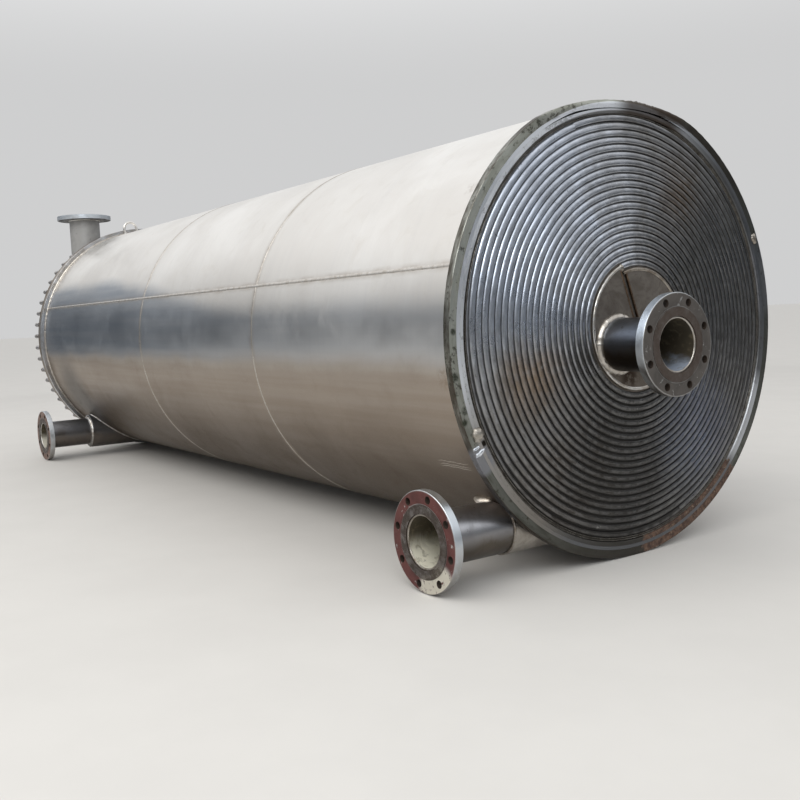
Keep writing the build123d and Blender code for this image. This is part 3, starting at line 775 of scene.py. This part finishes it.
FLANGES = {
    "near_nozzle_flange": flange_material(
        "flange_primed", near_face, Y, SIZES, RED_PRIMER, BARE, 1.0, 0.12,
        [(Vector((0.075, 0, -0.095)), 0.060), (Vector((0.015, 0, -0.128)), 0.052)]),
    "centre_nozzle_flange": flange_material(
        "flange_brown", centre_face, X, SIZES, BROWN, BARE, 0.92, 0.80),
    "far_nozzle_flange": flange_material(
        "flange_dull_brown", far_face, Y, SIZES, RUST_PRIMER, BARE, 0.95, 0.4),
    "top_nozzle_flange": flange_material(
        "flange_pale", top_face, Z, TOP_SIZES, (0.085, 0.085, 0.09), (0.30, 0.31, 0.33), 0.85, 0.1),
}
FINISHES = (
    (SHELL, "shell_course_near", "shell_course_middle", "shell_course_far", "lifting_eye"),
    (RIM, "near_rim", "face_band"),
    (WINDING, "winding_filler", "spiral_plate_a", "spiral_plate_b", "closing_bar_a", "closing_bar_b"),
    (CORE, "core_half_left", "core_half_right", "core_cover_left", "core_cover_right", "core_divider"),
    (CENTRE_PIPE, "centre_nozzle_pipe"), (NEAR_PIPE, "near_nozzle_pipe"), (STUB, "near_nozzle_stub"),
    (FAR_PIPE, "far_nozzle_pipe", "far_nozzle_stub"), (TOP_PIPE, "top_nozzle_elbow", "top_nozzle_pipe"),
    (FAR_RING, "far_flange"), (COVER, "far_cover"), (GASKET, "cover_gasket"),
    *((material, node) for node, material in FLANGES.items()),
)
for material, *nodes in FINISHES:
    for node in nodes:
        mesh = NODES[node].data
        mesh.materials.clear()
        mesh.materials.append(material)


# Winding
def turn_point(radius, side, angle):
    """A point on a half turn. The angle runs from its lower end (-90) to its upper end (90 degrees)."""
    y = -side * radius * math.cos(angle)
    z = side * TURN_SHIFT + radius * math.sin(angle)
    c, s = math.cos(WINDING_TILT), math.sin(WINDING_TILT)
    return Vector((FACE_X, AXIS_Y + c * y - s * z, AXIS_Z + s * y + c * z))


def face_height(point):
    """How far the coned face stands in front of the rim at a point."""
    r = math.hypot(point.y - AXIS_Y, point.z - AXIS_Z)
    return FACE_RISE - FACE_SLOPE * max(r - CORE_RADIUS, 0.0)


CROWN = 0.0056  # height of a bar's rounding
BAR_FOOT = 0.014  # how far below its crest a bar reaches down
BAR_STEP = 0.013  # between sections along a bar
FILLER_STEPS = 240
FULL_CROWN_ROOM = 0.012  # a filler narrower than this is crowned less
PLACES = [math.sin(math.pi * k / 14 - math.pi / 2) for k in range(15)]  # across a bar, -1 to 1


def round_off(place):
    """How far a bar's skin lies below its crest."""
    return CROWN * (1 - math.sqrt(1 - abs(0.985 * place) ** 3))


def crowned_bar(name, start_side, node, seed):
    """A closing bar with a rounded, slightly uneven crest, welded down into the groove each side."""
    width = WINDING_PITCH - PLATE
    rise, ripple = wobble(seed, 90), wobble(seed + 1, 900)
    drift, swell = wobble(seed + 2, 120), wobble(seed + 3, 400)
    rows, side = [], start_side
    for turn in range(WINDING_TURNS):
        mid = CORE_RADIUS + (turn + 0.5) * WINDING_PITCH
        steps = max(40, round(math.pi * mid / BAR_STEP))
        last = turn == WINDING_TURNS - 1
        for i in range(steps + last):
            sweep = -math.pi / 2 + math.pi * i / steps
            angle = sweep if side > 0 else -sweep
            t = (turn + i / steps) / WINDING_TURNS
            lift = 0.0006 * rise(t) + 0.0003 * ripple(t)
            wide = width / 2 * (1 + 0.04 * swell(t))
            row = []
            for place in PLACES:
                p = turn_point(mid + 0.0005 * drift(t) + place * wide, side, angle)
                p.x = FACE_X + face_height(p) - round_off(place) + lift
                row.append(p)
            for place in (1, -1):
                p = turn_point(mid + place * width / 2, side, angle)
                p.x = FACE_X + face_height(p) - BAR_FOOT
                row.append(p)
            rows.append(row)
        side = -side
    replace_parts(new_object(name, *loft(rows, False), WINDING, 75), node)


def crowned_filler(side, seed):
    """The wedge between the last half turn and the band: a bar that tapers along the half circle."""
    rise = wobble(seed, 24)
    rows = []
    for i in range(FILLER_STEPS + 1):
        sweep = -math.pi / 2 + math.pi * i / FILLER_STEPS
        inner = turn_point(WINDING_R + PLATE, side, sweep)
        spoke = Vector((0, inner.y - AXIS_Y, inner.z - AXIS_Z))
        inner_r = spoke.length
        spoke.normalize()
        room = max(BAND_INNER_R - 0.001 - inner_r, 0.0012)
        size = min(1.0, room / FULL_CROWN_ROOM)
        row = []
        for place in PLACES:
            r = inner_r + room * (place + 1) / 2
            sunk = 0.001 + 0.004 * (1 - size) + round_off(place) * size
            x = FACE_X - sunk + 0.0006 * rise(i / FILLER_STEPS)
            row.append(Vector((x, AXIS_Y + spoke.y * r, AXIS_Z + spoke.z * r)))
        for r in (inner_r + room, inner_r):
            row.append(Vector((FACE_X - BAR_FOOT, AXIS_Y + spoke.y * r, AXIS_Z + spoke.z * r)))
        rows.append(row)
    return loft(rows, False)


crowned_bar("closing_bar_crown_a", 1, "closing_bar_a", 11)
crowned_bar("closing_bar_crown_b", -1, "closing_bar_b", 23)
fillers = joined([crowned_filler(1, 27), crowned_filler(-1, 29)])
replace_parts(new_object("filler_crowned", *fillers, WINDING, 75), "winding_filler")


# Rim and face band
def angle_from(angle, start):
    """From start to angle, the short way round."""
    return (angle - start + math.pi) % math.tau - math.pi


def dent(angle):
    """How far the edge of the rim is beaten in, by the angle from the top."""
    away = abs(angle_from(angle, DENT_ANGLE)) / DENT_SPREAD
    return DENT_DEPTH * math.cos(min(away, 1.0) * math.pi / 2) ** 1.2


def turned_ring(name, node, section, count, shift):
    """A ring given by (x, radius) points. shift moves each point by its angle and radius."""
    rows = []
    for angle in turns(count):
        row = []
        for x, radius in section:
            dx, dr = shift(angle, radius)
            row.append(at(x + dx, radius + dr, angle))
        rows.append(row)
    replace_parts(new_object(name, *loft(rows, True), RIM, 35), node)


edge_wave, edge_nicks = wobble(31, 9), wobble(32, 70)


def rim_shift(angle, radius):
    """The dent at the top beats the rim in and folds its edge back. Elsewhere the edge wavers a little."""
    out = max(0.0, (radius - RIM_INNER_R) / (RIM_R - RIM_INNER_R))
    t = (angle / math.tau) % 1
    folded = dent(angle)
    standing = 0.5 + 0.5 * math.cos(angle)
    rough_edge = (0.0009 * edge_wave(t) + 0.0006 * edge_nicks(t) - 0.0008) * out * standing
    burnt = max(0.0, 1 - abs(angle_from(angle, BURNT_ANGLE)) / math.radians(9))
    ragged = burnt * (0.0035 * edge_nicks(t * 3 % 1) + 0.002 * edge_nicks(t * 7 % 1)) * out
    proud = 0.003 * min(1.0, folded / 0.004)
    return (proud - 0.45 * folded * out**8, -folded + rough_edge + ragged)


def band_shift(angle, radius):
    """The bright strip narrows under the dent."""
    return 0.0, -0.5 * dent(angle) * (radius > BAND_INNER_R + 0.004)


EDGE = 0.0015  # chamfer of the rim and of its groove
rim_section = [(FACE_X, RIM_INNER_R + (RIM_R - EDGE - RIM_INNER_R) * k / 6) for k in range(7)]
rim_section += [(FACE_X - EDGE, RIM_R), (RIM_BACK + EDGE, RIM_R), (RIM_BACK, RIM_R - EDGE)]
rim_section += [(RIM_BACK, RIM_INNER_R + (RIM_R - RIM_INNER_R) * k / 4) for k in (2, 0)]
turned_ring("rim_beaten", "near_rim", rim_section, 900, rim_shift)

GROOVE = 0.0070  # depth between the face band and the winding
groove_r = BAND_OUTER_R - 0.0135
turned_ring("face_band_grooved", "face_band",
            [(FACE_X, BAND_OUTER_R), (FACE_X, groove_r + EDGE), (FACE_X - EDGE, groove_r),
             (FACE_X - GROOVE, groove_r - 0.0012), (FACE_X - GROOVE, BAND_INNER_R + 0.0002),
             (BAND_BACK, BAND_INNER_R), (BAND_BACK, BAND_OUTER_R)], 720, band_shift)

# Welds on the face
groove_bottom = FACE_X - GROOVE + 0.0002
bead("band_weld_outer", ring_stations(groove_bottom, groove_r - 0.0030, 900, 1.2),
     0.0048, 0.0030, GROOVE_WELD, seed=41)
bead("band_weld_inner", ring_stations(groove_bottom, BAND_INNER_R + 0.0020, 900, 1.7),
     0.0046, 0.0036, GROOVE_WELD, seed=43)

face_up = Vector((0, -math.sin(WINDING_TILT), math.cos(WINDING_TILT)))
face_left = Vector((0, -math.cos(WINDING_TILT), -math.sin(WINDING_TILT)))
core_centre = Vector((FACE_X + FACE_RISE, AXIS_Y, AXIS_Z))
HALF_STEPS = 300
cover_r = CORE_OUTER_R - CORE_WALL
for name, side, material in (("left", 1, WELD), ("right", -1, DULL_WELD)):
    centre = core_centre + face_up * (side * TURN_SHIFT)
    stations = []
    for i in range(HALF_STEPS + 1):
        a = math.pi * i / HALF_STEPS
        out = face_left * (side * math.sin(a)) + face_up * math.cos(a)
        stations.append((centre + out * cover_r - X * 0.001, X, out))
    bead(f"core_cover_weld_{name}", stations, 0.010, 0.0042, material, False, 0.005, 51 + side)
    reach = cover_r - 0.004
    slot = core_centre + face_left * (side * (DIVIDER / 2 + COVER_GROOVE - 0.0005)) - X * 0.0015
    lower_end, upper_end = (slot + face_up * (side * TURN_SHIFT + way * reach) for way in (-1, 1))
    stations = line_stations(lower_end, upper_end, X, 260)
    bead(f"divider_weld_{name}", stations, 0.0055, 0.0045, BROWN_WELD, False, 0.005, 55 + side)
for k, end in enumerate((1, -1)):
    place = core_centre + face_up * (end * (CORE_RADIUS - 0.002)) + face_left * (0.004 * end) - X * 0.002
    blob(f"divider_end_weld_{k + 1}", place, X, (0.011, 0.010), face_up, 0.007, DULL_WELD, 61 + k)

# Welds on the shell
for k, seam in enumerate(SEAM_XS):
    bead(f"girth_weld_{k + 1}", ring_stations(seam, SHELL_R, 1300),
         0.009, 0.0011, GIRTH_WELD, seed=3 + k, coins=0.02)
seam_out = out_at(LONG_SEAM)
seam_start = at(RIM_BACK - 0.002, SHELL_R, LONG_SEAM)
seam_end = at(FAR_FRONT + 0.002, SHELL_R, LONG_SEAM)
bead("long_weld", line_stations(seam_start, seam_end, seam_out, 1300),
     0.011, 0.0016, SEAM_WELD, False, 0.0065, 8, 0.02)
bead("rim_weld", ring_stations(RIM_BACK, SHELL_R + 0.001, 1000, -0.7), 0.010, 0.0035, DULL_WELD, seed=12)
bead("far_flange_weld", ring_stations(FAR_FRONT, SHELL_R + 0.002, 1000, 0.7),
     0.014, 0.005, GIRTH_WELD, seed=14, coins=0.04)
LUMPS = ((0.641, 112.6, 0.019, 0.012), (0.648, 113.6, 0.011, 0.010))  # radius, degrees, size and height
for k, (radius, angle, size, tall) in enumerate(LUMPS):
    blob(f"rim_repair_weld_{k + 1}", at(FACE_X, radius, math.radians(angle)), X, (size, size * 0.9),
         out_at(math.radians(205)), tall, LUMP, 71 + k, 0.22)
GOUGES = (((0.673, 117.0), (0.638, 116.7), 0.0070),  # two ends by radius and degrees, and half the width
          ((0.673, 115.4), (0.648, 115.3), 0.0050))
for k, (*ends, half_width) in enumerate(GOUGES):
    first, last = (at(FACE_X, radius, math.radians(angle)) for radius, angle in ends)
    blob(f"rim_gouge_{k + 1}", (first + last) / 2 - X * 0.0006, X, ((last - first).length / 2, half_width),
         (last - first).normalized(), 0.0040, TORN, 77 + k, 0.30)
blob("rim_step_weld", at(FACE_X, 0.655, math.radians(-66)), X, (0.012, 0.018),
     out_at(math.radians(-66)), 0.006, DULL_WELD, 75)


# Nozzle welds
def nozzle_welds(name, axis, pipe_r, root_width, material, coins=0.2):
    """Behind the flange, inside it at the pipe's end, and round the root of the pipe."""
    centre = middle(f"{name}_flange")
    back = span(f"{name}_flange", axis)[0]
    root, end = span(f"{name}_pipe", axis)
    bead(f"{name}_back_weld", circle_stations(along(centre, axis, back), -axis, pipe_r, 220, 0.8),
         0.011, 0.0050, material, seed=81)
    mouth = along(centre, axis, end - 0.0005)
    bead(f"{name}_end_weld", circle_stations(mouth, axis, pipe_r - 0.0020, 200, 2.0),
         0.0075, 0.0042, material, seed=83)
    bead(f"{name}_root_weld", circle_stations(along(centre, axis, root), axis, pipe_r + 0.001, 220, 0.75),
         root_width, root_width * 0.45, material, seed=85, coins=coins)


nozzle_welds("centre_nozzle", X, PIPE_R, 0.026, GIRTH_WELD, 0.06)
nozzle_welds("near_nozzle", -Y, PIPE_R, 0.009, DULL_WELD, 0.06)
nozzle_welds("far_nozzle", -Y, PIPE_R, 0.026, WELD)
nozzle_welds("top_nozzle", Z, TOP_PIPE_R, 0.010, WELD)
bead("near_saddle_weld", saddle_stations("near_nozzle_stub", NEAR_STUB_R, 520), 0.013, 0.006, WELD, seed=91)
bead("far_saddle_weld", saddle_stations("far_nozzle_stub", FAR_STUB_R, 560), 0.014, 0.006, WELD, seed=93)
pipe_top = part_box("near_nozzle_pipe")[1]
fillet = Vector((middle("near_nozzle_stub").x - 0.030, pipe_top.y - 0.018, pipe_top.z + 0.001))
# The near fillet: its pale colour partly paints its highlight.
blob("near_fillet_blob", fillet, Vector((0, -0.45, 0.89)).normalized(), (0.022, 0.036),
     Vector((0, 0.89, 0.45)).normalized(), 0.012, FILLET_HIGHLIGHT, 95, 0.25)
elbow_start = Vector((COVER_BACK, top_face.y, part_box("top_nozzle_elbow")[0].z + TOP_PIPE_R))
bead("elbow_weld", circle_stations(elbow_start, -X, TOP_PIPE_R, 240, 0.7), 0.014, 0.006, DULL_WELD, seed=97)

eye_low, eye_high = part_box("lifting_eye")
eye_x = (eye_low.x + eye_high.x) / 2
for k, side in enumerate((1, -1)):
    turned_by = EYE_TILT + side * math.asin(EYE_HALF_WIDTH / SHELL_R)
    leg = at(eye_x, SHELL_R, turned_by)
    bead(f"eye_weld_{k + 1}", circle_stations(leg, out_at(EYE_TILT), EYE_ROD_R, 60, 0.8),
         0.008, 0.004, WELD, seed=99 + k)

# Studs and nuts of the far cover
studs, nuts = [], []
length = FAR_FRONT - COVER_BACK + STUD_BEYOND
corner = NUT_ACROSS_FLATS / math.sqrt(3)
CHAMFER = 0.0015
stud_profile = [(0.004, STUD_R), (length - CHAMFER, STUD_R), (length, STUD_R - CHAMFER)]
nut_profile = [(0.0, corner), (NUT_HEIGHT - CHAMFER, corner), (NUT_HEIGHT, corner * 0.90)]
for i in range(STUDS):
    angle = math.tau * (i + 0.5) / STUDS
    foot = at(FAR_FRONT, STUD_CIRCLE_R, angle)
    seat = at(COVER_BACK, STUD_CIRCLE_R, angle)
    studs.append(prism(foot, -X, stud_profile, 14))
    nuts.append(prism(seat, -X, nut_profile, 6, angle))
new_object("cover_studs", *joined(studs), BOLT)
new_object("cover_nuts", *joined(nuts), NUT)

# Stage
ROUND = 96  # corners of the floor and of the card
FLOOR_R = 90.0
floor_mesh = bpy.data.meshes.new("floor")
floor_ring = [(FLOOR_R * math.cos(t), FLOOR_R * math.sin(t), 0.0) for t in turns(ROUND)]
floor_mesh.from_pydata(floor_ring, [], [tuple(range(ROUND))])
floor = add_object("floor", floor_mesh)
FLOOR_COLOUR = (0.60, 0.585, 0.56)
g = Graph("floor")
speckle = g.noise(3.0, 4, 0.6)
floor.data.materials.append(g.finish(
    g.mix(g.vary(speckle), FLOOR_COLOUR, tuple(0.97 * c for c in FLOOR_COLOUR)), 0.8, None, 0.0))

# A dark card round the stage, seen only in the metal, gives the shell its level band
CARD_R, CARD_LOW, CARD_HIGH = 7.5, 0.01, 2.2
card_rows = [[Vector((CARD_R * math.cos(t), CARD_R * math.sin(t), z)) for z in (CARD_LOW, CARD_HIGH)]
             for t in turns(ROUND)]
card_verts, card_faces = loft(card_rows, True, False)
card_mesh = bpy.data.meshes.new("dark_card")
card_mesh.from_pydata([tuple(v) for v in card_verts], [], card_faces)
card = add_object("dark_card", card_mesh)
g = Graph("dark_card")
card.data.materials.append(g.finish((0.12, 0.135, 0.155), 0.9, None, 0.0))
card.visible_camera = card.visible_shadow = card.visible_diffuse = False

# A plain pale sky, a little brighter overhead
SKY_LOW, SKY_HIGH = (0.62, 0.622, 0.625), (1.0, 1.005, 1.01)
SKY_STARTS, SKY_ENDS = 0.22, 0.48  # the sine of the height where it begins and stops growing brighter
world = bpy.data.worlds.new("studio")
bpy.context.scene.world = world
world.use_nodes = True
tree = world.node_tree
direction, split, climb, sky = (tree.nodes.new("ShaderNode" + kind)
                                for kind in ("TexCoord", "SeparateXYZ", "MapRange", "Mix"))
tree.links.new(direction.outputs["Generated"], split.inputs[0])
climb.interpolation_type = "SMOOTHSTEP"
sky.data_type = "RGBA"
for node, key, value in ((climb, "From Min", SKY_STARTS), (climb, "From Max", SKY_ENDS),
                         (sky, "A", (*SKY_LOW, 1)), (sky, "B", (*SKY_HIGH, 1))):
    node.inputs[key].default_value = value
tree.links.new(split.outputs[2], climb.inputs["Value"])
tree.links.new(climb.outputs["Result"], sky.inputs["Factor"])
tree.links.new(sky.outputs["Result"], tree.nodes["Background"].inputs["Color"])


def area(name, place, target, size, power, colour):
    light = bpy.data.lights.new(name, "AREA")
    light.shape = "RECTANGLE"
    light.size, light.size_y = size
    light.energy = power
    light.color = colour
    obj = add_object(name, light)
    obj.location = place
    obj.rotation_euler = (Vector(target) - Vector(place)).to_track_quat("-Z", "Y").to_euler()


area("key", (1.5, -7.5, 8.0), (0, 0, 0.6), (10.0, 7.0), 470, (1.0, 0.97, 0.92))
area("face", (6.5, -4.0, 5.0), (2.0, 0, 0.8), (3.5, 3.0), 120, (0.92, 0.96, 1.0))

# Camera, fitted to the photo
FOCAL_PX = 947.0
IMAGE_PX = 800
EYE = Vector((FACE_X + 1.8975, AXIS_Y - 2.1452, 0.7520))
YAW, PITCH, ROLL = (math.radians(a) for a in (55.324, 5.239, -2.559))
camera_data = bpy.data.cameras.new("camera")
camera = add_object("camera", camera_data)
ahead = Vector((-math.sin(YAW) * math.cos(PITCH), math.cos(YAW) * math.cos(PITCH), -math.sin(PITCH)))
level = Vector((math.cos(YAW), math.sin(YAW), 0))
over = level.cross(ahead)
right = level * math.cos(ROLL) + over * math.sin(ROLL)
up = over * math.cos(ROLL) - level * math.sin(ROLL)
camera.matrix_world = Matrix.Translation(EYE) @ Matrix((right, up, -ahead)).transposed().to_4x4()
camera_data.sensor_fit = "HORIZONTAL"
camera_data.sensor_width = 36.0
camera_data.lens = camera_data.sensor_width * FOCAL_PX / IMAGE_PX
camera_data.clip_end = 200
bpy.context.scene.camera = camera
bpy.context.scene.view_settings.view_transform = "Standard"
